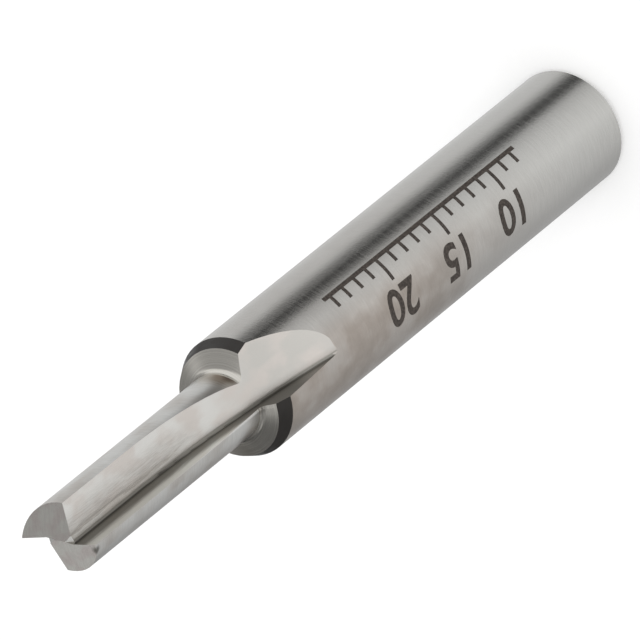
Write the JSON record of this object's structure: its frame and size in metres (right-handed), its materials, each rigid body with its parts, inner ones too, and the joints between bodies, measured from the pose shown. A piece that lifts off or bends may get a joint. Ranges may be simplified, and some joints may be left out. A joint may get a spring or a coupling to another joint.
{
  "type": "router bit",
  "caption": "Straight router bit ground from solid bar, with a plain shank, a bevelled shoulder and a slim fluted cutter for grooves in wood.",
  "frame": {"origin": "centre of the shank's flat end face", "axes": "+Z along the axis from the shank's end to the cutting tip, X through both cutting edges, Y square to both"},
  "size_m": [0.006, 0.006, 0.045],
  "materials": {
    "high_speed_steel": "fine ground",
    "laser_mark": "matt, burnt in by a laser"
  },
  "bodies": {
    "root": {"router_bit": "high_speed_steel"}
  },
  "joints": []
}
